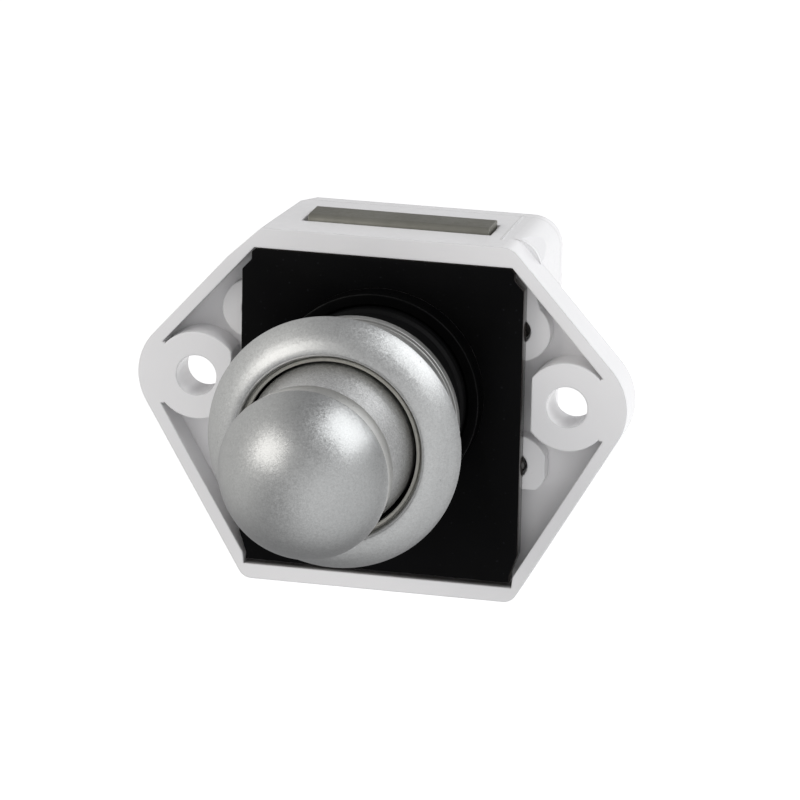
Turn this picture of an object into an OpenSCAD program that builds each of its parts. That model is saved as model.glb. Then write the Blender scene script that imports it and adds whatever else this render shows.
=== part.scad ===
// Push button cabinet lock for a round door bore, shown with its knob out and
// its bolt drawn in. Millimetres. Y runs from the knob (front, negative) to the
// back of the case (positive), Z is up towards the end of the bolt.
// y = 0 is the front face of the flange rim, which bears on the inside of the
// door, and x = 0, z = 0 is the axis of the knob.

/* [Flange] */
// Distance between the two fixing holes
hole_spacing = 45.5; // [44.5:0.1:46.5]
// Radius of each fixing hole
fix_hole_r = 2.5; // [2:0.1:2.8]
// Outer radius of the rounded end around each fixing hole
lobe_r = 7.25; // [7:0.05:7.5]
// Depth of the flange from its rim to its back face
flange_depth = 5.2; // [5:0.1:5.6]
// Height of the flange above the knob axis
top_h = 18.9; // [18.6:0.1:19.2]
// Depth of the flange below the knob axis
bottom_h = 24.9; // [24.5:0.1:25.4]

/* [Case] */
// Distance from the rim to the back of the rear cover
case_depth = 16.6; // [16.6:0.1:17.6]
// Half width of the case behind the flange
case_half_w = 18.25; // [18.2:0.05:18.8]
// Distance from the knob axis down to the underside of the case
case_low = 17; // [16.5:0.1:19]
// Thickness of the rear cover
cover_t = 1.3; // [1:0.1:1.3]

/* [Bore collar] */
// Outer radius of the collar that fills the bore in the door
collar_r = 12.7; // [12.5:0.05:12.9]
// How far the collar stands in front of the rim
collar_out = 3; // [2:0.1:3.5]
// Gap between the rim and the back of the rosette bead, where the door goes
door_t = 22.1; // [21.5:0.1:22.1]

/* [Rosette] */
// Largest radius of the rosette bead
rosette_r = 15.1; // [14.9:0.05:15.3]
// Radius of the opening in the rosette lip
lip_r = 10.33; // [10.25:0.01:10.4]
// Sideways play of the rosette to the right, as it hangs
sag_x = 0.07; // [0:0.01:0.2]
// Downward play of the rosette, as it hangs
sag_z = 0.06; // [0:0.01:0.2]

/* [Knob] */
// Largest radius of the knob head, where its dome meets the band
head_r = 10; // [9.6:0.05:10.1]
// Height of the dome on the knob head
dome_h = 7.2; // [6:0.1:8.4]
// Travel of the knob from out to pressed in
knob_travel = 8; // [6:0.1:8]

/* [Bolt] */
// Width of the bolt
bolt_w = 22.2; // [20:0.1:22.4]
// Thickness of the bolt
bolt_t = 4.7; // [4:0.1:4.8]
// How far the drawn in bolt stands above the case
bolt_proud = 0.7; // [0.3:0.1:1]
// Bolt travel for each millimetre of knob travel
drive_ratio = 0.8; // [0.7:0.01:0.8]

/* [Hidden] */
$fn = 96;
hs = hole_spacing / 2;
cover_y = case_depth - cover_t;
rim_in_top = top_h - 2.44;
rim_in_low = -(bottom_h - 1.83);
floor_y = 4;
slot_cx = 0.3;
slot_w = 23.2;
slot_y0 = 5.0;
slot_y1 = 10.15;
bolt_cx = 0.5;
bolt_y0 = 5.25;
bolt_travel = knob_travel * drive_ratio;
screw_x = 16.1;
screw_z = 8.3;
boss_x = 16.4;
boss_r = 3.7;
pin_y = 4.8;
pin_r = 1.05;
shaft_r = 2;
sleeve_ri = 10.2;
sleeve_ro = 11.2;
sleeve_y0 = -22.6;
tip_y = 5.2;
pivot_y = 13.4;
arm = pivot_y - tip_y;
tip_swing = 2.2;
tip_r = 0.7;
slant_a = atan2(top_h - 2.6, 14.44 - hs) - acos((lobe_r - 2.6) / norm([14.44 - hs, top_h - 2.6]));
slant_d = hs * cos(slant_a) + lobe_r;

// A flat shape drawn in X and Z, given depth from y0 to y1
module slab(y0, y1) translate([0, y1, 0]) rotate([90, 0, 0]) linear_extrude(y1 - y0) children();
// A round bar along Y
module bar(y0, y1, r) translate([0, y0, 0]) rotate([-90, 0, 0]) cylinder(h = y1 - y0, r = r);
// A ring along Y
module tube(y0, y1, ro, ri) difference() { bar(y0, y1, ro); bar(y0 - 1, y1 + 1, ri); }
// A profile of [radius, y] points turned about the knob axis
module turned() rotate([-90, 0, 0]) rotate_extrude() children();
// A box from one corner to the other
module block(a, b) translate(a) cube(b - a);

// Outer tangent points between circles [x, z, r], taken anticlockwise
function tang(a, b) = let (d = atan2(b[1] - a[1], b[0] - a[0]),
    len = norm([b[0] - a[0], b[1] - a[1]]), n = d - acos((a[2] - b[2]) / len))
    [[a[0] + a[2] * cos(n), a[1] + a[2] * sin(n)], [b[0] + b[2] * cos(n), b[1] + b[2] * sin(n)]];
module wrap(c) {
  polygon([for (i = [0 : len(c) - 1]) each tang(c[i], c[(i + 1) % len(c)])]);
  for (p = c) if (p[2] > 0) translate([p[0], p[1]]) circle(p[2]);
}

module outer_2d() wrap([[hs, 0, lobe_r], [14.44, top_h - 2.6, 2.6], [-14.44, top_h - 2.6, 2.6],
  [-hs, 0, lobe_r], [-15.6, -(bottom_h - 1.8), 1.8], [15.6, -(bottom_h - 1.8), 1.8]]);
module inner_2d() wrap([[hs, 0, lobe_r - 1.5], [15.75, rim_in_top, 0], [-15.75, rim_in_top, 0],
  [-hs, 0, lobe_r - 1.5], [-16.75, -21.7, 0], [-16.6, rim_in_low, 0], [16.6, rim_in_low, 0], [16.75, -21.7, 0]]);
module plate_2d() polygon([for (s = [1, -1]) each [for (p = s > 0 ?
  [[16.3, rim_in_low + 0.64], [16.3, -21.6], [17.2, -19], [17.2, 13.7], [16.05, 15], [16.05, 15.9], [15.6, rim_in_top - 0.15]] :
  [[15.6, rim_in_top - 0.15], [16.05, 15.9], [16.05, 15], [17.2, 13.7], [17.2, -19], [16.3, -21.6], [16.3, rim_in_low + 0.64]]) [s * p[0], p[1]]]]);

// Outline of the case behind the flange, flush with the top of the flange
module case_2d(in = 0) wrap([[case_half_w - 3.5, top_h - 3.5, 3.5 - in], [-(case_half_w - 3.5), top_h - 3.5, 3.5 - in],
  [-(case_half_w - 2.5), -(case_low - 2.5), 2.5 - in], [case_half_w - 2.5, -(case_low - 2.5), 2.5 - in]]);

// The upper left corner of the flange and case is cut off at a slant, more so towards the back
module corner_cut() {
  translate([-14.95, 0, top_h]) rotate([0, 43.3, 175.6]) translate([-30, -30, 0]) cube([60, 60, 20]);
  translate([-13.1, 15.5, top_h]) rotate([0, 21.5, 146.3]) translate([-30, -30, 0]) cube([60, 60, 20]);
}
// Eases the upper right corner of the case into the slanted side of the flange in front of it
module corner_ease() rotate([0, -slant_a, 0]) translate([0, 0, -4]) linear_extrude(14)
  polygon([[slant_d, flange_depth], [slant_d + 3, flange_depth], [slant_d + 3, flange_depth + 5], [slant_d + 0.6, flange_depth + 5]]);

module screw_at() for (x = [-screw_x, screw_x], z = [-screw_z, screw_z]) translate([x, 0, z]) children();

module housing_frame() color([0.86, 0.86, 0.85]) difference() {
  union() {
    // rim and floor of the flange
    difference() {
      slab(0, flange_depth) outer_2d();
      slab(-1, floor_y) inner_2d();
    }
    // round bosses for the fixing screws, joined to the rim on their outer side
    slab(0, floor_y + 0.5) intersection() {
      inner_2d();
      union() for (s = [-1, 1]) {
        intersection() {
          translate([s * hs, 0]) circle(5.4);
          translate([s * (hs - 4.3 + 10), 0]) square([20, 20], center = true);
        }
        translate([s * (hs + 4 + 5), 0]) square([10, 7.6], center = true);
      }
    }
    // case walls
    slab(floor_y + 0.4, cover_y) case_2d();
    // screw pillars, seen beside the plate
    slab(2, floor_y + 0.5) {
      for (x = [-boss_x, boss_x]) translate([x, screw_z]) circle(boss_r);
      translate([-boss_x, -screw_z]) circle(boss_r);
      // cut flat below and beside
      intersection() { translate([boss_x, -screw_z]) circle(boss_r + 0.05); translate([12, -11.2]) square([7.87, 8]); }
      // joined to the slanted side of the rim
      polygon([[12.7, screw_z], [boss_x, screw_z], [18.78, 11.13], [17.9, 14.05], [17.5, 15.3], [16.4, 17], [12.7, 17]]);
    }
    // fine mould line on the top
    block([13.45, 3.6, top_h - 0.3], [13.65, cover_y, top_h + 0.09]);
  }
  // fixing holes
  for (s = [-1, 1]) translate([s * hs, 0, 0]) bar(-1, flange_depth + 1, fix_hole_r);
  // hollow of the case, open at the back, with a window through the flange floor
  difference() {
    slab(flange_depth, cover_y + 1) case_2d(1.2);
    block([-30, 0, top_h - 2.4], [30, 20, top_h + 1]);
    // kept solid behind the slanted corner
    block([-30, 0, 11.5], [-12.6, 20, top_h + 1]);
    slab(0, 30) for (x = [-boss_x, boss_x], z = [-screw_z, screw_z]) translate([x, z]) circle(boss_r);
    // ribs that guide the bolt carrier
    for (s = [-1, 1]) block([min(s * 8.2, s * 9.4), 0, -16.4], [max(s * 8.2, s * 9.4), 30, 6.2]);
  }
  difference() {
    block([-12.4, 1, -15.4], [12.4, flange_depth + 0.01, top_h - 2.4]);
    for (s = [-1, 1]) block([min(s * 8.2, s * 9.4), floor_y, -16.4], [max(s * 8.2, s * 9.4), 30, 6.2]);
  }
  // slot for the bolt
  block([slot_cx - slot_w / 2, slot_y0, top_h - 4], [slot_cx + slot_w / 2, slot_y1, top_h + 1]);
  // screw holes, wider at the front
  screw_at() { bar(0, 3.6, 1.65); bar(1, cover_y + 1, 1.35); }
  corner_cut();
  corner_ease();
}

module rear_cover() color([0.84, 0.84, 0.83]) difference() {
  slab(cover_y, case_depth) case_2d();
  screw_at() {
    bar(cover_y - 1, case_depth + 1, 1.4);
    translate([0, case_depth - 0.9, 0]) rotate([-90, 0, 0]) cylinder(h = 1.2, r1 = 1.4, r2 = 2.25);
  }
  corner_cut();
}

// Four countersunk screws from the back, their tips end in the pillars beside the plate
module case_screws() color([0.62, 0.62, 0.6]) {
  // one of them is driven in further
  translate([screw_x, 0, -screw_z]) bar(2.25, 4.1, 1.15);
  screw_at() difference() {
    union() {
      bar(4, case_depth - 0.55, 1.25);
      translate([0, 3, 0]) rotate([-90, 0, 0]) cylinder(h = 1, r1 = 0.55, r2 = 1.25);
      translate([0, case_depth - 0.94, 0]) rotate([-90, 0, 0]) cylinder(h = 0.84, r1 = 1.25, r2 = 1.97);
    }
    block([-1.3, case_depth - 0.5, -0.22], [1.3, case_depth + 1, 0.22]);
    block([-0.22, case_depth - 0.5, -1.3], [0.22, case_depth + 1, 1.3]);
  }
}

module base_plate() color([0.06, 0.06, 0.06]) difference() {
  slab(0, 2) plate_2d();
  bar(-1, 3, sleeve_ro);
}

// Low collar on the plate that centres the lock in the bore of the door
module bore_collar() color([0.07, 0.07, 0.07]) turned() polygon([[sleeve_ro, 0], [collar_r, 0],
  [collar_r, -(collar_out - 0.5)], [collar_r - 0.5, -collar_out], [sleeve_ro + 0.3, -collar_out], [sleeve_ro, -(collar_out - 0.3)]]);

// Black tube through the door, ringed along the length that the rosette screws on to
module threaded_sleeve() color([0.09, 0.09, 0.09]) turned() difference() {
  polygon(concat([[sleeve_ri, sleeve_y0], [sleeve_ro - 0.35, sleeve_y0]],
    [for (i = [0 : 9]) each [[sleeve_ro - 0.35, sleeve_y0 + 0.6 + i * 1.5], [sleeve_ro, sleeve_y0 + 1.0 + i * 1.5],
      [sleeve_ro, sleeve_y0 + 1.25 + i * 1.5], [sleeve_ro - 0.35, sleeve_y0 + 1.65 + i * 1.5]]],
    [[sleeve_ro - 0.35, -4.6], [sleeve_ro, -4.2], [sleeve_ro, 2], [sleeve_ri, 2]]));
}

// Guide for the shaft and the slider inside the sleeve
module guide_bush() color([0.75, 0.75, 0.72]) difference() {
  union() { bar(-4.9, 2, sleeve_ri); bar(-7.4, -4, 4.2); }
  bar(-8, 3, shaft_r + 0.06);
  block([-4.1, -5.2, -5.75], [4.1, 3, 2.95]);
}

module spring_washer() color([0.7, 0.7, 0.7]) tube(-5.5, -4.9, 6.6, 4.3);

// Points on an ellipse from angle a0 to a1
function arc(c, rx, ry, a0, a1, n) = [for (i = [0 : n]) let (a = a0 + (a1 - a0) * i / n) [c[0] + rx * cos(a), c[1] + ry * sin(a)]];

// Bead of the rosette: rounded in front, flat at the back, sloping down inside to the lip
module rosette_ring() color([0.66, 0.66, 0.66]) translate([sag_x, 0, -sag_z]) turned()
  polygon(concat([[11.6, -door_t], [rosette_r - 0.15, -door_t], [rosette_r, -22.25]],
    [for (p = [[0.1, -22.46], [0.3, -22.8], [0.5, -23.07], [0.7, -23.31], [0.9, -23.53], [1.1, -23.74], [1.3, -23.94], [1.5, -24.13],
      [1.7, -24.31], [1.9, -24.47], [2.1, -24.62], [2.3, -24.76], [2.5, -24.88]]) [rosette_r - p[0], p[1]]],
    [[12.4, -24.99], [12.2, -25.09], [12.0, -25.18], [11.8, -25.25], [11.6, -25.3], [11.45, -25.32], [11.33, -25.3], [11.22, -25.22],
     [11.13, -25.1], [11.06, -24.92], [11.0, -24.68], [10.95, -24.45], [10.92, -24.25], [10.92, -23.3], [11.6, -23.3]]));

// Stepped hub behind the bead that goes into the bore, with a groove near its end
module rosette_hub() color([0.66, 0.66, 0.66]) translate([sag_x, 0, -sag_z]) turned()
  polygon([[11.6, -door_t], [12.85, -door_t], [12.85, -15.3], [12.7, -15.1], [11.95, -15.1], [11.95, -12.35], [12.23, -12.35],
    [12.33, -12.25], [12.33, -11.25], [12.18, -11.1], [11.6, -11.1]]);

// Narrow lip ring set in the mouth of the rosette, with a fine groove round it
module rosette_lip_ring() color([0.72, 0.71, 0.68]) translate([sag_x, 0, -sag_z]) turned()
  polygon([[lip_r, -23.3], [lip_r, -24.35], [lip_r + 0.13, -24.5], [10.66, -24.5], [10.76, -24.4], [10.76, -24.0], [10.92, -24.0], [10.92, -23.3]]);

// Bracket inside the rear cover that carries the pivot of the follower lever
module lever_bracket() color([0.8, 0.8, 0.79]) difference() {
  block([-3, 11.6, -12.4], [3, cover_y, -7.7]);
  translate([0, pivot_y, -20]) cylinder(h = 20, r = 0.8);
}
module lever_pivot_pin() color([0.7, 0.7, 0.72]) {
  translate([0, pivot_y, -12]) cylinder(h = 6.1, r = 0.8);
  translate([0, pivot_y, -6.15]) cylinder(h = 0.35, r = 1.3);
}

// Domed head of the knob, on a band that narrows towards the neck
head_y = -36.1;
cap_r = (head_r * head_r + dome_h * dome_h) / (2 * dome_h);
cap_a = dome_h > head_r ? 180 - asin(head_r / cap_r) : asin(head_r / cap_r);
module knob_head() color([0.66, 0.66, 0.66]) turned() polygon(concat(
  [[shaft_r, -39], [shaft_r, -32.4], [head_r - 0.58, -32.4], [head_r - 0.38, -32.6], [head_r - 0.02, -36.0]],
  arc([0, head_y - dome_h + cap_r], cap_r, cap_r, cap_a - 90, -89, 26), [[0, head_y - dome_h], [0, -39]]));

// Flared neck and hollow skirt of the knob
module knob_skirt() color([0.64, 0.64, 0.64]) turned() difference() {
  union() {
    polygon([[shaft_r, -32.4], [8.08, -32.4], [8.2, -31.2], [8.38, -30], [8.58, -29], [8.82, -28], [9.08, -27], [9.36, -26],
      [9.66, -25], [9.86, -24.38], [9.9, -24.25], [9.9, -14.2], [9.7, -14], [8.6, -14], [8.6, -24.6], [7.9, -26.0], [6.9, -27.6], [6.6, -28.0], [shaft_r, -28.0]]);
  }
  translate([-1, -40]) square([shaft_r + 1, 40]);
}

module knob_shaft() color([0.72, 0.72, 0.74]) difference() {
  union() {
    bar(-38.6, 5.9, shaft_r);
    bar(5.9, 6.4, shaft_r - 0.45);
    bar(6.4, 6.9, shaft_r);
  }
  translate([-10, pin_y, 0]) rotate([0, 90, 0]) cylinder(h = 20, r = pin_r);
}

module knob_nut() color([0.74, 0.74, 0.72]) difference() {
  translate([0, -28, 0]) rotate([-90, 0, 0]) cylinder(h = 2.6, r = 4.04, $fn = 6);
  bar(-29, -20, shaft_r);
}

// Lanes of the heart shaped track in the underside of the slider
module lane(a, b, r) {
  v = b - a;
  w = [-v[1], v[0]] / norm(v) * r;
  linear_extrude(3) polygon([a + w, b + w, b - w, a - w]);
  translate([a[0], a[1], 0]) cylinder(h = 3, r = r);
  translate([b[0], b[1], 0]) cylinder(h = 3, r = r);
}
module track_slider() color([0.16, 0.16, 0.17]) difference() {
  block([-4, -4.6, -5.6], [4, 5.9, 2.8]);
  bar(-6, 8, shaft_r);
  translate([-10, pin_y, 0]) rotate([0, 90, 0]) cylinder(h = 20, r = pin_r);
  translate([0, 0, -4.35 - 3]) {
    for (s = [-1, 1]) {
      lane([0, tip_y], [s * tip_swing, tip_y - 7.7], 1);
      lane([s * tip_swing, tip_y - 7.7], [0, tip_y - 7.1], 1);
    }
    lane([0, tip_y], [0, 9], 1);
  }
}

module drive_pin() color([0.72, 0.72, 0.74]) translate([-7.9, pin_y, 0]) rotate([0, 90, 0]) cylinder(h = 15.8, r = pin_r);

// Clip in the groove at the back end of the shaft
module shaft_clip() color([0.3, 0.3, 0.3]) difference() {
  bar(5.9, 6.4, 3.3);
  bar(5, 7, shaft_r - 0.45);
  block([-0.9, 5, -4], [0.9, 7, -0.8]);
}

// Coil spring between the nut side of the skirt and the washer on the guide bush
sp_r = 5.4; sp_w = 0.42; sp_n = 8; sp_seg = 18; sp_k = 6;
sp_a = -27.5; sp_b = -5.95;
function sp_y(t) = let (e = 0.75 / sp_n) t < e ? sp_a + sp_w * 2 * 0.75 * t / e :
  t > 1 - e ? sp_b - sp_w * 2 * 0.75 * (1 - t) / e :
  sp_a + sp_w * 1.5 + (sp_b - sp_a - sp_w * 3) * (t - e) / (1 - 2 * e);
module return_spring() color([0.75, 0.75, 0.76]) {
  n = sp_n * sp_seg;
  pts = [for (i = [0 : n]) let (t = i / n, a = 360 * sp_n * t) for (k = [0 : sp_k - 1]) let (b = 360 * k / sp_k)
    [(sp_r + sp_w * cos(b)) * cos(a), sp_y(t) + sp_w * sin(b), (sp_r + sp_w * cos(b)) * sin(a)]];
  polyhedron(pts, concat([[for (k = [0 : sp_k - 1]) k]],
    [for (i = [0 : n - 1], k = [0 : sp_k - 1]) let (a = i * sp_k + k, b = i * sp_k + (k + 1) % sp_k) [a, a + sp_k, b + sp_k, b]],
    [[for (k = [sp_k - 1 : -1 : 0]) n * sp_k + k]]));
}

// Flat bolt with eased edges, riveted to the carrier
bz0 = 9;
module latch_bolt() color([0.46, 0.46, 0.42]) difference() {
  translate([bolt_cx - bolt_w / 2, 0, 0]) rotate([90, 0, 90]) linear_extrude(bolt_w) union() {
    translate([bolt_y0, bz0]) square([bolt_t, top_h + bolt_proud - 0.9 - bz0]);
    translate([bolt_y0 + 0.9, bz0]) square([bolt_t - 1.2, top_h + bolt_proud - bz0]);
    translate([bolt_y0 + 0.9, top_h + bolt_proud - 0.9]) circle(0.9);
    translate([bolt_y0 + 0.9, bz0]) square([bolt_t - 0.9, top_h + bolt_proud - 0.3 - bz0]);
    translate([bolt_y0 + bolt_t - 0.3, top_h + bolt_proud - 0.3]) circle(0.3);
  }
  for (x = [-3.6, 3.6]) translate([x, bolt_y0 + bolt_t / 2, 8]) cylinder(h = 6, r = 1.2);
}

module bolt_carrier() color([0.78, 0.78, 0.76]) difference() {
  union() {
    block([-8, 3.2, 7], [8, 14.8, bz0]);
    for (s = [-1, 1]) translate([s > 0 ? 6 : -8, 0, 0]) rotate([90, 0, 90]) linear_extrude(2)
      polygon([[2.6, 7.5], [2.6, -3], [6.2, -9.2], [14.8, -9.2], [14.8, 7.5]]);
  }
  // slanted slots for the drive pin
  translate([-10, 0, 0]) rotate([90, 0, 90]) {
    r = pin_r + 0.05;
    a = [pin_y, 0]; b = [pin_y + knob_travel, -bolt_travel];
    v = b - a; w = [-v[1], v[0]] / norm(v) * r;
    linear_extrude(20) polygon([a + w, b + w, b - w, a - w]);
    translate([a[0], a[1], 0]) cylinder(h = 20, r = r);
    translate([b[0], b[1], 0]) cylinder(h = 20, r = r);
  }
  for (x = [-3.6, 3.6]) translate([x, bolt_y0 + bolt_t / 2, 5]) cylinder(h = 6, r = 1.2);
}

module bolt_rivets() color([0.7, 0.7, 0.7]) for (x = [-3.6, 3.6]) translate([x, bolt_y0 + bolt_t / 2, 0]) {
  translate([0, 0, 6.3]) cylinder(h = 0.7, r1 = 1.5, r2 = 2);
  translate([0, 0, 7]) cylinder(h = 6.9, r = 1.2);
}

// Lever whose tip rides in the heart shaped track
module latch_lever() color([0.7, 0.7, 0.72]) difference() {
  union() {
    translate([0, 0, -7.4]) linear_extrude(1.2) polygon([[-1.5, pivot_y], [1.5, pivot_y], [1.1, tip_y], [-1.1, tip_y]]);
    translate([0, pivot_y, -7.4]) cylinder(h = 1.2, r = 1.7);
    translate([0, tip_y, -7.4]) cylinder(h = 1.2, r = 1.2);
  }
  translate([0, pivot_y, -8]) cylinder(h = 3, r = 0.86);
  translate([0, tip_y, -8]) cylinder(h = 3, r = tip_r);
}
module lever_tip_pin() color([0.75, 0.75, 0.77]) translate([0, tip_y, -7.6]) cylinder(h = 2.9, r = tip_r);

housing_frame();
rear_cover();
case_screws();
base_plate();
bore_collar();
threaded_sleeve();
guide_bush();
spring_washer();
rosette_ring();
rosette_hub();
rosette_lip_ring();
lever_bracket();
lever_pivot_pin();
knob_head();
knob_skirt();
knob_shaft();
knob_nut();
track_slider();
drive_pin();
shaft_clip();
return_spring();
latch_bolt();
bolt_carrier();
bolt_rivets();
latch_lever();
lever_tip_pin();
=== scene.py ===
# Looks for the push button cabinet lock: materials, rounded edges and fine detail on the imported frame.
import math
import bpy
import bmesh
from mathutils import Matrix, Vector, noise


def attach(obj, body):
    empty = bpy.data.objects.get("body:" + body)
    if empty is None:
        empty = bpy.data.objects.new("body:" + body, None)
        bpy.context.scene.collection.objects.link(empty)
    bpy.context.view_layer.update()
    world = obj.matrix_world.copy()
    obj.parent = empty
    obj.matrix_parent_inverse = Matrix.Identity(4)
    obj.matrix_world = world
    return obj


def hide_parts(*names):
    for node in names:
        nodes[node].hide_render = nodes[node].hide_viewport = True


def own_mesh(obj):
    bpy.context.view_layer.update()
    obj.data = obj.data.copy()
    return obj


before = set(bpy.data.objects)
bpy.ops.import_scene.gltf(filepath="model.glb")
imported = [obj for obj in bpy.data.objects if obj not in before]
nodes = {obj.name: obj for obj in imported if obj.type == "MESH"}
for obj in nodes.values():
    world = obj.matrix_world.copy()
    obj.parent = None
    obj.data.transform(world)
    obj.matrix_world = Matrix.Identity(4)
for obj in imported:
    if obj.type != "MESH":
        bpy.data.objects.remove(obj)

MM = 0.001
scene = bpy.context.scene
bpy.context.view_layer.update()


# ---------------------------------------------------------------- node helpers

class Mat:
    """A small helper that lays out one material's nodes."""

    def __init__(self, name):
        self.m = bpy.data.materials.new(name)
        self.m.use_nodes = True
        self.t = self.m.node_tree
        self.t.nodes.clear()
        self.out = self.t.nodes.new("ShaderNodeOutputMaterial")
        self.p = self.t.nodes.new("ShaderNodeBsdfPrincipled")
        self.t.links.new(self.p.outputs[0], self.out.inputs[0])
        self.tc = self.t.nodes.new("ShaderNodeTexCoord")
        self.co = self.tc.outputs["Object"]

    def set(self, **kw):
        for k, v in kw.items():
            self.p.inputs[k.replace("_", " ")].default_value = v
        return self

    def node(self, kind, **kw):
        n = self.t.nodes.new(kind)
        for k, v in kw.items():
            setattr(n, k, v)
        return n

    def link(self, a, b):
        self.t.links.new(a, b)

    def put(self, sock, v):
        if hasattr(v, "is_output") or isinstance(v, bpy.types.NodeSocket):
            self.link(v, sock)
        else:
            sock.default_value = v

    def noise(self, scale, detail=2.0, rough=0.5, distort=0.0, co=None, dim="3D", lac=2.0):
        n = self.node("ShaderNodeTexNoise", noise_dimensions=dim)
        self.link(co or self.co, n.inputs["Vector"])
        n.inputs["Scale"].default_value = scale
        n.inputs["Detail"].default_value = detail
        n.inputs["Roughness"].default_value = rough
        n.inputs["Distortion"].default_value = distort
        n.inputs["Lacunarity"].default_value = lac
        return n.outputs["Fac"]

    def voronoi(self, scale, feature="F1", out="Distance", co=None, rand=1.0):
        n = self.node("ShaderNodeTexVoronoi", feature=feature)
        self.link(co or self.co, n.inputs["Vector"])
        n.inputs["Scale"].default_value = scale
        n.inputs["Randomness"].default_value = rand
        return n.outputs[out]

    def ramp(self, v, stops, interp="LINEAR"):
        n = self.node("ShaderNodeValToRGB")
        n.color_ramp.interpolation = interp
        e = n.color_ramp.elements
        while len(e) < len(stops):
            e.new(0.5)
        for k, (pos, c) in zip(e, stops):
            k.position = pos
            k.color = (c, c, c, 1) if isinstance(c, (int, float)) else tuple(c) + (1,)
        self.link(v, n.inputs[0])
        return n.outputs[0]

    def span(self, v, a, b, c, d, clamp=True):
        n = self.node("ShaderNodeMapRange")
        n.clamp = clamp
        self.put(n.inputs[0], v)
        for i, x in enumerate((a, b, c, d)):
            n.inputs[i + 1].default_value = x
        return n.outputs[0]

    def math(self, op, a, b=0.0, clamp=False):
        n = self.node("ShaderNodeMath", operation=op, use_clamp=clamp)
        self.put(n.inputs[0], a)
        self.put(n.inputs[1], b)
        return n.outputs[0]

    def mix(self, f, a, b):
        n = self.node("ShaderNodeMix", data_type="RGBA")
        self.put(n.inputs["Factor"], f)
        ia = [s for s in n.inputs if s.name == "A" and s.type == "RGBA"][0]
        ib = [s for s in n.inputs if s.name == "B" and s.type == "RGBA"][0]
        for s, v in ((ia, a), (ib, b)):
            self.put(s, v if not isinstance(v, (tuple, list)) else tuple(v) + (1,) * (4 - len(v)))
        return [s for s in n.outputs if s.type == "RGBA"][0]

    def sep(self, v=None):
        n = self.node("ShaderNodeSeparateXYZ")
        self.link(v or self.co, n.inputs[0])
        return n.outputs

    def scaled(self, s, co=None):
        n = self.node("ShaderNodeMapping")
        n.inputs["Scale"].default_value = s
        self.link(co or self.co, n.inputs["Vector"])
        return n.outputs[0]

    def bump(self, height, dist, strength=1.0, normal=None):
        n = self.node("ShaderNodeBump")
        n.inputs["Strength"].default_value = strength
        n.inputs["Distance"].default_value = dist
        self.link(height, n.inputs["Height"])
        if normal is not None:
            self.link(normal, n.inputs["Normal"])
        return n.outputs[0]

    def edge(self, radius, samples=6):
        """1 near a convex edge or corner, 0 away from it, from how a small bevel turns the normal."""
        b = self.node("ShaderNodeBevel", samples=samples)
        b.inputs["Radius"].default_value = radius
        g = self.node("ShaderNodeNewGeometry")
        d = self.node("ShaderNodeVectorMath", operation="DOT_PRODUCT")
        self.link(b.outputs[0], d.inputs[0])
        self.link(g.outputs["Normal"], d.inputs[1])
        return self.span(d.outputs["Value"], 0.995, 0.80, 0.0, 1.0)

    def color(self, v):
        self.put(self.p.inputs["Base Color"], v)
        return self

    def rough(self, v):
        self.put(self.p.inputs["Roughness"], v)
        return self

    def normal(self, v):
        self.link(v, self.p.inputs["Normal"])
        return self


def grey(v, tint=(1, 1, 1)):
    return (v * tint[0], v * tint[1], v * tint[2])


# ---------------------------------------------------------------- materials

def white_plastic(name, base=0.88, tint=(1.0, 0.992, 1.0), round_r=0.00028, ledge_painted_shade=False):
    m = Mat(name)
    cloud = m.noise(60, 3, 0.55)
    fine = m.noise(900, 4, 0.6)
    speck = m.span(m.noise(2600, 1, 0.4), 0.72, 0.80, 0, 1)
    c = m.mix(m.span(cloud, 0.35, 0.65, 0, 1), grey(base * 0.965, tint), grey(base, tint))
    c = m.mix(m.math("MULTIPLY", speck, 0.10), c, grey(base * 0.55, (1.0, 0.96, 0.9)))
    if ledge_painted_shade:
        # painted shade: darker brown on the inner wall of the lower rim beside the plate, where the narrow gap lies in
        # shade
        x, y, z = m.sep()[:3]
        band = m.math("MULTIPLY", m.span(z, -0.0222, -0.0228, 0, 1), m.span(z, -0.0236, -0.0232, 0, 1))
        deep = m.math("MULTIPLY", m.span(y, 0.00005, 0.0011, 0, 1), m.span(y, 0.0024, 0.0032, 1, 0))
        side = m.span(m.math("ABSOLUTE", x), 0.0165, 0.0172, 1, 0)
        g = m.math("MULTIPLY", m.math("MULTIPLY", band, deep), side)
        c = m.mix(m.math("MULTIPLY", g, 0.93), c, (0.060, 0.048, 0.040))
    m.color(c)
    r = m.span(fine, 0.3, 0.7, 0.17, 0.27)
    m.rough(r)
    m.set(IOR=1.47)
    soft = m.node("ShaderNodeBevel", samples=6)
    soft.inputs["Radius"].default_value = round_r
    n1 = m.bump(m.noise(1500, 3, 0.55), 0.000006, 0.12, soft.outputs[0])
    n2 = m.bump(m.noise(120, 2, 0.5), 0.00004, 0.06, n1)
    m.normal(n2)
    return m.m


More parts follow.
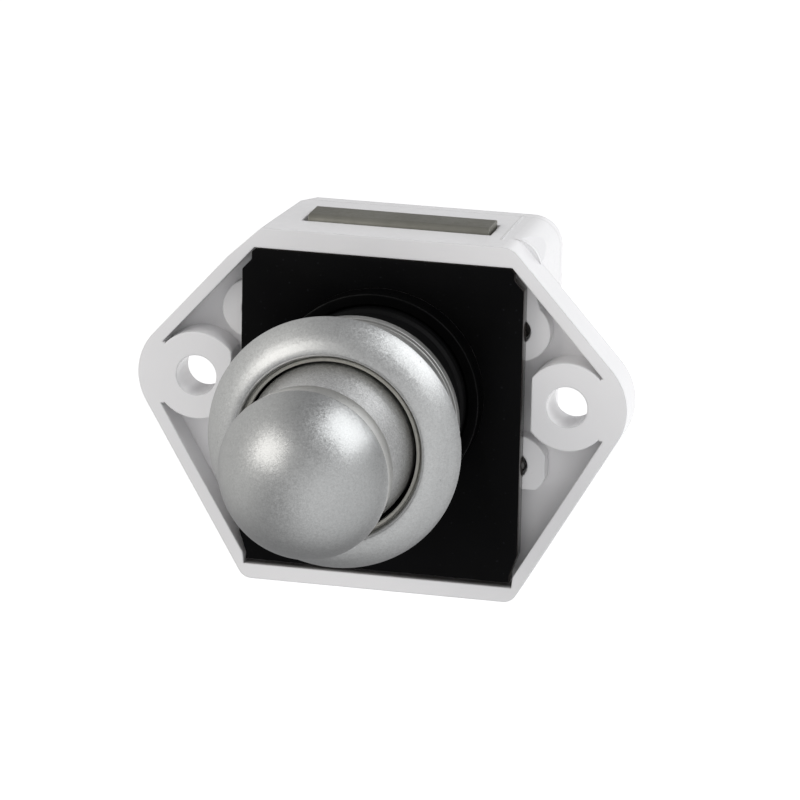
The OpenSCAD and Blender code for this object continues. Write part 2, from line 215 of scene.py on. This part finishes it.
def black_plate():
    m = Mat("black_coated_plate")
    weave = m.noise(2200, 3, 0.6)
    dust = m.span(m.noise(2600, 0, 0.5), 0.76, 0.82, 0, 1)
    dust2 = m.span(m.noise(1300, 1, 0.4), 0.80, 0.84, 0, 1)
    smear = m.noise(90, 4, 0.6)
    c = m.mix(m.span(smear, 0.3, 0.75, 0, 1), (0.0020, 0.0020, 0.0022), (0.0038, 0.0038, 0.0040))
    c = m.mix(m.math("MULTIPLY", dust, 0.08), c, (0.08, 0.085, 0.10))
    c = m.mix(m.math("MULTIPLY", dust2, 0.10), c, (0.10, 0.09, 0.075))
    # the cut edges are smooth and glossy, the faces are dull; the edge faces also get a lighter brown colour, a
    # painted reflection of the white rim beside them
    g = m.node("ShaderNodeNewGeometry")
    side = m.span(m.math("ABSOLUTE", m.sep(g.outputs["True Normal"])[1]), 0.75, 0.45, 0, 1)
    c = m.mix(side, c, (0.030, 0.024, 0.020))
    m.color(c)
    m.rough(m.mix(side, m.span(smear, 0.3, 0.7, 0.50, 0.62), (0.16, 0.16, 0.16)))
    m.put(m.p.inputs["Specular IOR Level"], m.span(side, 0, 1, 0.04, 0.5))
    m.normal(m.bump(weave, 0.000012, 0.45))
    return m.m


def black_plastic(name="black_plastic_satin", rough=(0.26, 0.36), painted_edge_highlight=True):
    m = Mat(name)
    f = m.noise(1600, 3, 0.6)
    cl = m.noise(160, 3, 0.6)
    c = m.mix(m.span(cl, 0.35, 0.7, 0, 1), (0.0016, 0.0016, 0.0018), (0.0030, 0.0030, 0.0030))
    m.set(Specular_IOR_Level=0.08)
    # painted highlight along convex edges, in patches: a lighter colour and a stronger specular level there
    if painted_edge_highlight:
        e = m.math("MULTIPLY", m.edge(0.00012), m.span(m.noise(420, 3, 0.6), 0.36, 0.6, 0.3, 1.0))
        c = m.mix(m.math("MULTIPLY", e, 0.8), c, (0.16, 0.155, 0.15))
        m.put(m.p.inputs["Specular IOR Level"], m.span(e, 0, 0.5, 0.05, 1.0))
    m.color(c)
    m.rough(m.span(f, 0.3, 0.7, *rough))
    m.normal(m.bump(f, 0.000006, 0.25))
    return m.m


def silver_paint(name, base=(0.465, 0.47, 0.467), rough=0.35, grain=1.0, seed=0.0):
    """Pearl silver lacquer: fine flakes that glint one by one, over a slightly mottled body."""
    m = Mat(name)
    flake = m.node("ShaderNodeTexVoronoi", feature="F1")
    m.link(m.co, flake.inputs["Vector"])
    flake.inputs["Scale"].default_value = 9500
    rnd = m.sep(flake.outputs["Color"])
    mott = m.noise(3300 + seed, 3, 0.62)
    mid = m.noise(1100 + seed, 3, 0.6)
    cloud = m.noise(95, 3, 0.55)
    v = m.math("ADD", m.span(rnd[0], 0, 1, -0.5, 0.5, False), m.span(mott, 0.25, 0.75, -0.6, 0.6, False))
    v = m.math("ADD", v, m.span(mid, 0.25, 0.75, -0.10, 0.10, False))
    amp = 0.21 * grain
    c = m.mix(m.span(v, -1.2, 1.2, 0, 1), tuple(x * (1 - amp) for x in base), tuple(min(1, x * (1 + amp)) for x in base))
    c = m.mix(m.span(cloud, 0.35, 0.7, 0, 0.15), c, tuple(x * 0.95 for x in base))
    pit = m.span(m.noise(1250 + seed, 1, 0.4), 0.81, 0.84, 0, 0.4)
    c = m.mix(pit, c, (0.10, 0.10, 0.10))
    m.color(c)
    m.set(Metallic=0.94, IOR=1.5)
    m.rough(m.span(v, -1.0, 1.0, rough - 0.05, rough + 0.07))
    # each flake tips the surface a little its own way
    tilt = m.node("ShaderNodeVectorMath", operation="SUBTRACT")
    m.link(flake.outputs["Color"], tilt.inputs[0])
    tilt.inputs[1].default_value = (0.5, 0.5, 0.5)
    sc = m.node("ShaderNodeVectorMath", operation="SCALE")
    m.link(tilt.outputs[0], sc.inputs[0])
    sc.inputs["Scale"].default_value = 0.105 * grain
    geo = m.node("ShaderNodeNewGeometry")
    add = m.node("ShaderNodeVectorMath", operation="ADD")
    m.link(geo.outputs["Normal"], add.inputs[0])
    m.link(sc.outputs[0], add.inputs[1])
    nn = m.node("ShaderNodeVectorMath", operation="NORMALIZE")
    m.link(add.outputs[0], nn.inputs[0])
    b = m.bump(mott, 0.000012, 0.30 * grain, nn.outputs[0])
    m.normal(b)
    m.set(Coat_Weight=0.06, Coat_Roughness=0.30)
    return m.m


def lip_metal():
    m = Mat("pale_lip")
    f = m.noise(1300, 3, 0.6)
    c = m.mix(m.span(f, 0.3, 0.7, 0, 1), (0.36, 0.355, 0.32), (0.44, 0.43, 0.39))
    m.color(c)
    m.set(Metallic=0.35)
    m.rough(m.span(f, 0.3, 0.7, 0.36, 0.48))
    m.normal(m.bump(m.noise(2600, 2, 0.5), 0.000006, 0.3))
    return m.m


def steel(name, base=0.55, rough=(0.28, 0.42), yellow=0.0):
    m = Mat(name)
    f = m.noise(700, 4, 0.65)
    t = (1.0, 0.985 - 0.06 * yellow, 0.96 - 0.18 * yellow)
    c = m.mix(m.span(f, 0.3, 0.7, 0, 1), grey(base * 0.85, t), grey(base * 1.08, t))
    m.color(c)
    m.set(Metallic=1.0)
    m.rough(m.span(m.noise(1900, 3, 0.6), 0.3, 0.7, *rough))
    m.normal(m.bump(m.noise(1400, 3, 0.6), 0.000008, 0.35))
    return m.m


def bolt_metal():
    m = Mat("die_cast_grey")
    big = m.noise(130, 4, 0.62)
    f = m.noise(1500, 4, 0.6)
    c = m.mix(m.span(big, 0.32, 0.68, 0, 1), (0.165, 0.161, 0.138), (0.225, 0.221, 0.193))
    # lighter colour along convex edges, in patches: partly rubbed metal, partly a painted highlight
    e = m.math("MULTIPLY", m.edge(0.00016), m.span(m.noise(500, 3, 0.6), 0.38, 0.6, 0.15, 1.0))
    c = m.mix(m.math("MULTIPLY", e, 0.8), c, (0.62, 0.61, 0.56))
    m.color(c)
    m.set(Metallic=0.55)
    m.rough(m.span(f, 0.3, 0.7, 0.42, 0.58))
    n1 = m.bump(f, 0.000014, 0.5)
    m.normal(m.bump(m.noise(360, 3, 0.6), 0.00003, 0.3, n1))
    return m.m


WHITE = white_plastic("moulded_white_plastic")
# the frame's copy adds painted shade on the inner wall of the lower rim, beside the plate
WHITE_FRAME = white_plastic("moulded_white_plastic_frame", ledge_painted_shade=True)
WHITE_IN = white_plastic("moulded_white_plastic_inner", 0.82)
PLATE = black_plate()
BLACK = black_plastic()
BLACK_IN = black_plastic("black_plastic_dull", (0.5, 0.62), False)
SILVER = silver_paint("pearl_silver_paint")
SILVER_BEAD = silver_paint("pearl_silver_bead", (0.51, 0.515, 0.512), 0.37, seed=2.0)
# the neck gets a much lighter copy of the same paint: painted light, standing for how bright the neck looks under the
# lamps
SILVER_NECK_PAINTED_LIGHT = silver_paint("pearl_silver_neck_painted_light", (0.80, 0.80, 0.79), 0.40, 1.6, 3.0)
# the band behind the dome: a smoother, finer-grained copy of the paint, which is the band's own finish, with a lighter
# colour, which is painted light
SILVER_RIM_PAINTED_LIGHT = silver_paint("pearl_silver_rim_painted_light", (0.72, 0.715, 0.695), 0.31, 0.30, 5.0)
SILVER_BAND = silver_paint("pearl_silver_band", (0.44, 0.44, 0.43), 0.40, 0.25, 7.0)
LIP = lip_metal()
STEEL = steel("zinc_plated_steel")
BOLT = bolt_metal()
SLIDER = black_plastic("slider_plastic", (0.38, 0.5), False)


def assign(obj, mat):
    if not obj.material_slots:
        obj.data.materials.append(mat)
    for s in obj.material_slots:
        s.material = mat


# ---------------------------------------------------------------- mesh helpers

def rounded(points, step=9.0):
    """Closed loop of (r, y, fillet radius) in mm with its corners rounded, as a list of (r, y)."""
    out = []
    n = len(points)
    for i in range(n):
        p = Vector(points[i][:2])
        rad = points[i][2] if len(points[i]) > 2 else 0.0
        a = Vector(points[i - 1][:2]) - p
        b = Vector(points[(i + 1) % n][:2]) - p
        if rad <= 0 or a.length < 1e-9 or b.length < 1e-9:
            out.append(tuple(p))
            continue
        a.normalize(), b.normalize()
        ang = a.angle(b)
        if ang > math.radians(177):
            out.append(tuple(p))
            continue
        d = rad / math.tan(ang / 2)
        c = p + (a + b).normalized() * (rad / math.sin(ang / 2))
        s, e = p + a * d - c, p + b * d - c
        turn = math.atan2(s.x * e.y - s.y * e.x, s.dot(e))
        k = max(2, int(abs(math.degrees(turn)) / step) + 1)
        for j in range(k + 1):
            t = turn * j / k
            out.append((c.x + s.x * math.cos(t) - s.y * math.sin(t), c.y + s.x * math.sin(t) + s.y * math.cos(t)))
    return out


def arc(c, rx, ry, a0, a1, n):
    return [(c[0] + rx * math.cos(math.radians(a0 + (a1 - a0) * i / n)), c[1] + ry * math.sin(math.radians(a0 + (a1 - a0) * i / n))) for i in range(n + 1)]


def lathe(name, loop, seg=288, cx=0.0, cz=0.0, sharp=40.0, wobble=None):
    """A closed ring: the loop of (r, y) in mm turned about the knob axis. wobble(r, y, a) moves a point along r and y."""
    bm = bmesh.new()
    rows = []
    for k in range(seg):
        a = 2 * math.pi * k / seg
        row = []
        for r, y in loop:
            rr, yy = r, y
            if wobble:
                dr, dy = wobble(r, y, a)
                rr, yy = r + dr, y + dy
            row.append(bm.verts.new(((cx + rr * math.cos(a)) * MM, yy * MM, (cz + rr * math.sin(a)) * MM)))
        rows.append(row)
    n = len(loop)
    for k in range(seg):
        p, q = rows[k], rows[(k + 1) % seg]
        for i in range(n):
            j = (i + 1) % n
            bm.faces.new((p[i], p[j], q[j], q[i]))
    bmesh.ops.recalc_face_normals(bm, faces=bm.faces)
    return mesh_object(name, bm, sharp)


def mesh_object(name, bm, sharp=40.0):
    me = bpy.data.meshes.new(name)
    bm.to_mesh(me)
    bm.free()
    for p in me.polygons:
        p.use_smooth = True
    me.set_sharp_from_angle(angle=math.radians(sharp))
    ob = bpy.data.objects.new(name, me)
    scene.collection.objects.link(ob)
    return ob


def piece(ob, mat, body, slot, *replaced):
    assign(ob, mat)
    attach(ob, body)
    if replaced:
        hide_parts(*replaced)
    return ob


# ---------------------------------------------------------------- knob and rosette

SX, SZ = 0.07, -0.06
HEAD_R, DOME_Y, DOME_H, HEAD_Y = 10.0, -36.1, 7.2, -32.4

# head: spherical cap on a short, slightly conical band, with a crisp edge between them
cap_r = (HEAD_R ** 2 + DOME_H ** 2) / (2 * DOME_H)
edge_a = math.degrees(math.asin(HEAD_R / cap_r)) if DOME_H < HEAD_R else 90.0
yc = DOME_Y - DOME_H + cap_r
dome = [(cap_r * math.sin(math.radians(t)), yc - cap_r * math.cos(math.radians(t))) for t in [edge_a * (1 - i / 64) for i in range(1, 65)]]
dome = [p for p in dome if p[0] > 0.02]
head_loop = rounded([(2.0, -39.0, 0), (2.0, HEAD_Y, 0), (9.53, HEAD_Y, 0.10), (9.63, HEAD_Y - 0.2, 0.08), (HEAD_R, DOME_Y, 0.10)] + [(p[0], p[1], 0) for p in dome] + [(0.02, DOME_Y - DOME_H + 0.0001, 0), (0.02, -39.0, 0)], 14)
head = lathe("knob_head_skin", head_loop, 320, sharp=40)
piece(head, SILVER, "knob", "silver_paint", "knob_head")
# the band faces get the lighter copy of the paint: smoother finish of its own plus painted light
head.data.materials.append(SILVER_RIM_PAINTED_LIGHT)
for f in head.data.polygons:
    if DOME_Y * MM <= f.center.y <= (HEAD_Y - 0.1) * MM and math.hypot(f.center.x, f.center.z) > 9.3 * MM:
        f.material_index = 1

neck = [(8.08, HEAD_Y), (8.2, -31.2), (8.38, -30.0), (8.58, -29.0), (8.82, -28.0), (9.08, -27.0), (9.36, -26.0), (9.66, -25.0), (9.85, -24.4)]


def spline(pts, k=6):
    """Smooth curve through the points (Catmull-Rom), as a list of points."""
    out = []
    for i in range(len(pts) - 1):
        p0, p1, p2, p3 = pts[max(i - 1, 0)], pts[i], pts[i + 1], pts[min(i + 2, len(pts) - 1)]
        for j in range(k):
            t = j / k
            out.append(tuple(0.5 * ((2 * p1[c]) + (-p0[c] + p2[c]) * t + (2 * p0[c] - 5 * p1[c] + 4 * p2[c] - p3[c]) * t * t + (-p0[c] + 3 * p1[c] - 3 * p2[c] + p3[c]) * t ** 3) for c in (0, 1)))
    out.append(tuple(pts[-1]))
    return out


skirt_loop = [(2.0, HEAD_Y)] + spline(neck) + rounded([(9.87, -24.33, 0), (9.895, -24.27, 0), (9.9, -24.18, 0), (9.9, -14.2, 0.1), (9.7, -14.0, 0.1), (8.6, -14.0, 0.05), (8.6, -24.6, 0.3), (7.9, -26.0, 0.3), (6.9, -27.6, 0.2), (6.6, -28.0, 0.1), (2.0, -28.0, 0)])
skirt = lathe("knob_skirt_skin", skirt_loop, 256, sharp=35)
# the neck's paint is a lighter copy: painted light
piece(skirt, SILVER_NECK_PAINTED_LIGHT, "knob", "silver_paint", "knob_skirt")

# bead of the rosette: rounded in front, flat at the back, sloping down inside to the lip
RR, BACK = 15.1, -22.1
front = [(RR, -22.25)] + [(RR - d, y) for d, y in ((0.1, -22.46), (0.3, -22.8), (0.5, -23.07), (0.7, -23.31), (0.9, -23.53), (1.1, -23.74), (1.3, -23.94), (1.5, -24.13), (1.7, -24.31), (1.9, -24.47), (2.1, -24.62), (2.3, -24.76), (2.5, -24.88))]
front += [(12.4, -24.99), (12.2, -25.09), (12.0, -25.18), (11.8, -25.25), (11.6, -25.3), (11.45, -25.32), (11.33, -25.3), (11.22, -25.22), (11.13, -25.1), (11.06, -24.92), (11.0, -24.68), (10.95, -24.45)]
bead_loop = [(11.6, BACK), (RR - 0.15, BACK), (RR - 0.07, BACK - 0.02), (RR - 0.02, BACK - 0.07)] + spline(front, 3) + [(10.925, -24.32), (10.92, -24.22), (10.92, -23.3), (11.6, -23.3)]


def nick(r, y, a):
    """A small knock on the right edge of the bead."""
    d = math.degrees(a)
    k = math.exp(-(((d - 8.5) / 0.9) ** 2)) * max(0.0, min(1.0, (r - 14.3) / 0.8))
    return -0.07 * k, 0.03 * k


bead = lathe("rosette_bead_skin", bead_loop, 720, SX, SZ, sharp=50, wobble=nick)
piece(bead, SILVER_BEAD, "case", "silver_paint", "rosette_ring")

hub_loop = rounded([(11.6, BACK, 0), (12.85, BACK, 0), (12.85, -15.1, 0.12), (11.95, -15.1, 0.1), (11.95, -12.35, 0.1), (12.33, -12.35, 0.09), (12.33, -11.1, 0.12), (11.6, -11.1, 0.05)])
hub = lathe("rosette_hub_skin", hub_loop, 288, SX, SZ)
piece(hub, SILVER_BAND, "case", "silver_paint", "rosette_hub")

lip_loop = rounded([(10.33, -23.3, 0), (10.33, -24.5, 0.12), (10.66, -24.5, 0.1), (10.76, -24.4, 0.05), (10.76, -24.0, 0.05), (10.92, -24.0, 0.0), (10.92, -23.3, 0)])
lip = lathe("rosette_lip_skin", lip_loop, 288, SX, SZ)
piece(lip, LIP, "case", "lip_metal", "rosette_lip_ring")

collar_loop = rounded([(11.2, 0.0, 0), (12.7, 0.0, 0), (12.7, -3.0, 0.12), (11.55, -3.0, 0.15), (11.2, -2.7, 0.1)])
collar = lathe("bore_collar_skin", collar_loop, 288)
piece(collar, BLACK, "case", "black_plastic", "bore_collar")

sleeve_pts = [(10.2, -22.6, 0.1), (10.85, -22.6, 0.1)]
for i in range(10):
    y = -22.6 + i * 1.5
    sleeve_pts += [(10.85, y + 0.6, 0.06), (11.2, y + 1.0, 0.08), (11.2, y + 1.25, 0.08), (10.85, y + 1.65, 0.06)]
sleeve_pts += [(10.85, -4.6, 0.06), (11.2, -4.2, 0.06), (11.2, 2.0, 0), (10.2, 2.0, 0)]
sleeve = lathe("threaded_sleeve_skin", rounded(sleeve_pts, 20), 224)
piece(sleeve, BLACK_IN, "case", "black_plastic", "threaded_sleeve")


def coil(name, r, w, turns, y0, y1, seg=40, ring=12):
    """A round wire of radius w wound on radius r, with closed ends at y0 and y1, in mm."""
    e, m = 0.75 / turns, turns * seg
    bm = bmesh.new()
    rows = []
    for i in range(m + 1):
        t = i / m
        if t < e:
            y = y0 + w * 1.5 * t / e
        elif t > 1 - e:
            y = y1 - w * 1.5 * (1 - t) / e
        else:
            y = y0 + w * 1.5 + (y1 - y0 - w * 3) * (t - e) / (1 - 2 * e)
        c = 2 * math.pi * turns * t
        row = []
        for k in range(ring):
            g = 2 * math.pi * k / ring
            rr = r + w * math.cos(g)
            row.append(bm.verts.new((rr * math.cos(c) / 1000, (y + w * math.sin(g)) / 1000, rr * math.sin(c) / 1000)))
        rows.append(row)
    for p, q in zip(rows, rows[1:]):
        for k in range(ring):
            bm.faces.new((p[k], q[k], q[(k + 1) % ring], p[(k + 1) % ring]))
    bm.faces.new(rows[0])
    bm.faces.new(rows[-1][::-1])
    bmesh.ops.recalc_face_normals(bm, faces=bm.faces)
    return mesh_object(name, bm)


# the return spring: a coil of round wire, carried by the case
wire = coil("return_spring_wire", 5.4, 0.42, 8, -27.5, -5.95)
piece(wire, STEEL, "case", "zinc_steel", "return_spring")
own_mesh(wire)


# ---------------------------------------------------------------- rounded edges on the CAD parts

def soften(node, width, segs=3, angle=32.0, weld=0.000004, flat=0.6):
    """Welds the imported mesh, merges its flat faces and rounds its edges, all as modifiers."""
    ob = nodes[node]
    w = ob.modifiers.new("weld", "WELD")
    w.merge_threshold = weld
    d = ob.modifiers.new("flat", "DECIMATE")
    d.decimate_type = "DISSOLVE"
    d.angle_limit = math.radians(flat)
    b = ob.modifiers.new("edges", "BEVEL")
    b.width = width
    b.segments = segs
    b.limit_method = "ANGLE"
    b.angle_limit = math.radians(angle)
    b.use_clamp_overlap = True
    b.harden_normals = False
    b.miter_outer = "MITER_ARC"
    for p in ob.data.polygons:
        p.use_smooth = True
    return ob


assign(nodes["housing_frame"], WHITE_FRAME)
assign(nodes["rear_cover"], WHITE)
soften("base_plate", 0.00008, 2)
assign(nodes["base_plate"], PLATE)
soften("latch_bolt", 0.0002, 3)
assign(nodes["latch_bolt"], BOLT)
for n in ("case_screws", "spring_washer", "lever_pivot_pin", "knob_shaft", "knob_nut", "drive_pin", "shaft_clip", "return_spring", "bolt_rivets", "latch_lever", "lever_tip_pin"):
    assign(nodes[n], STEEL)
for n in ("guide_bush", "lever_bracket", "bolt_carrier"):
    assign(nodes[n], WHITE_IN)
assign(nodes["track_slider"], SLIDER)

# ---------------------------------------------------------------- stage and light

FLOOR_Z = -0.26
ROOM_BASE = (0.30, 0.30, 0.305)
ROOM = (
    (162, -6, 26, 35, (1.00, 1.00, 1.00)),
    (-95, 12, 25, 70, (0.46, 0.455, 0.44)),
    (55, -28, 15, 80, (0.56, 0.565, 0.57)),
    (-25, -30, 20, 80, (0.14, 0.14, 0.138)),
    (20, 25, 10, 75, (0.14, 0.14, 0.14)),
)
bm = bmesh.new()
prof = [(-3.0, FLOOR_Z)] + [(y, FLOOR_Z) for y in (0, 1.2)] + [(1.2 + 0.6 * math.sin(math.radians(t)), FLOOR_Z + 0.6 * (1 - math.cos(math.radians(t)))) for t in range(10, 91, 10)] + [(1.8, 3.0)]
rows = [[bm.verts.new((x, y, z)) for y, z in prof] for x in (-4.0, 4.0)]
for i in range(len(prof) - 1):
    bm.faces.new((rows[0][i], rows[1][i], rows[1][i + 1], rows[0][i + 1]))
floor = mesh_object("studio_floor", bm)
fm = Mat("pale_floor")
fm.color(fm.mix(fm.noise(3, 2), (0.88, 0.88, 0.88), (0.90, 0.90, 0.90)))
fm.rough(fm.span(fm.noise(8, 2), 0.3, 0.7, 0.85, 0.95))
fm.set(Emission_Color=(1, 1, 1, 1), Emission_Strength=0.55)
assign(floor, fm.m)
floor.visible_diffuse = False
floor.visible_glossy = False

# the room: a dim studio in front, a white backdrop behind, a soft ceiling
world = bpy.data.worlds.new("studio") if not scene.world else scene.world
scene.world = world
world.use_nodes = True
wt = world.node_tree
wt.nodes.clear()
wo = wt.nodes.new("ShaderNodeOutputWorld")
wb = wt.nodes.new("ShaderNodeBackground")
wb.inputs[1].default_value = 1.0
wt.links.new(wb.outputs[0], wo.inputs[0])
wc = wt.nodes.new("ShaderNodeTexCoord")


def lobe(az, el, inner, outer, colour):
    """A soft patch of the room towards az, el: full inside the inner angle, none outside the outer one."""
    a, e = math.radians(az), math.radians(el)
    d = wt.nodes.new("ShaderNodeVectorMath")
    d.operation = "DOT_PRODUCT"
    wt.links.new(wc.outputs["Generated"], d.inputs[0])
    d.inputs[1].default_value = (math.sin(a) * math.cos(e), -math.cos(a) * math.cos(e), math.sin(e))
    r = wt.nodes.new("ShaderNodeMapRange")
    r.interpolation_type = "SMOOTHSTEP"
    wt.links.new(d.outputs["Value"], r.inputs[0])
    r.inputs[1].default_value, r.inputs[2].default_value = math.cos(math.radians(outer)), math.cos(math.radians(inner))
    m = wt.nodes.new("ShaderNodeVectorMath")
    m.operation = "SCALE"
    m.inputs[0].default_value = colour
    wt.links.new(r.outputs[0], m.inputs["Scale"])
    return m.outputs[0]


room = None
for args in ROOM:
    v = lobe(*args)
    if room is None:
        room = v
    else:
        n = wt.nodes.new("ShaderNodeVectorMath")
        n.operation = "ADD"
        wt.links.new(room, n.inputs[0])
        wt.links.new(v, n.inputs[1])
        room = n.outputs[0]
n = wt.nodes.new("ShaderNodeVectorMath")
n.operation = "ADD"
wt.links.new(room, n.inputs[0])
n.inputs[1].default_value = ROOM_BASE
wt.links.new(n.outputs[0], wb.inputs[0])

CENTRE = Vector((0.0, -0.012, 0.0))


def area(name, az, el, dist, w, h, power, color=(1, 1, 1), aim=CENTRE, spread=180):
    l = bpy.data.lights.new(name, "AREA")
    l.shape = "RECTANGLE"
    l.size, l.size_y = w, h
    l.energy = power
    l.color = color
    l.spread = math.radians(spread)
    o = bpy.data.objects.new(name, l)
    scene.collection.objects.link(o)
    a, e = math.radians(az), math.radians(el)
    back = Vector((math.sin(a) * math.cos(e), -math.cos(a) * math.cos(e), math.sin(e)))
    o.location = aim + back * dist
    o.rotation_mode = "QUATERNION"
    o.rotation_quaternion = (-back).to_track_quat("-Z", "Y")
    return o


area("key_right", 88, 49, 1.00, 0.90, 0.86, 5.4, (0.97, 0.985, 1.0))
area("fill_left", -46, 27, 1.60, 1.10, 0.95, 6.3, (1.0, 0.975, 0.94))

# ---------------------------------------------------------------- camera

az, el, roll = math.radians(13.458), math.radians(16.118), math.radians(1.183)
back = Vector((math.sin(az) * math.cos(el), -math.cos(az) * math.cos(el), math.sin(el)))
fwd = -back
right = fwd.cross(Vector((0, 0, 1))).normalized()
up = right.cross(fwd)
r2 = right * math.cos(roll) + up * math.sin(roll)
u2 = -right * math.sin(roll) + up * math.cos(roll)
cam = bpy.data.cameras.new("camera")
co = bpy.data.objects.new("camera", cam)
scene.collection.objects.link(co)
co.location = (back * 659.55 + right * 2.793 + up * -0.482) * MM
co.rotation_mode = "QUATERNION"
co.rotation_quaternion = Matrix((r2, u2, back)).transposed().to_quaternion()
cam.sensor_width = 36.0
cam.lens = 5534.96 * 36.0 / 800.0
cam.shift_x = -(403.374 - 400.0) / 800.0
cam.shift_y = (395.849 - 400.0) / 800.0
cam.clip_start, cam.clip_end = 0.01, 50
cam.dof.use_dof = False
scene.camera = co

scene.view_settings.view_transform = "Standard"
scene.view_settings.look = "None"
scene.view_settings.exposure = 0.0
scene.view_settings.gamma = 1.0
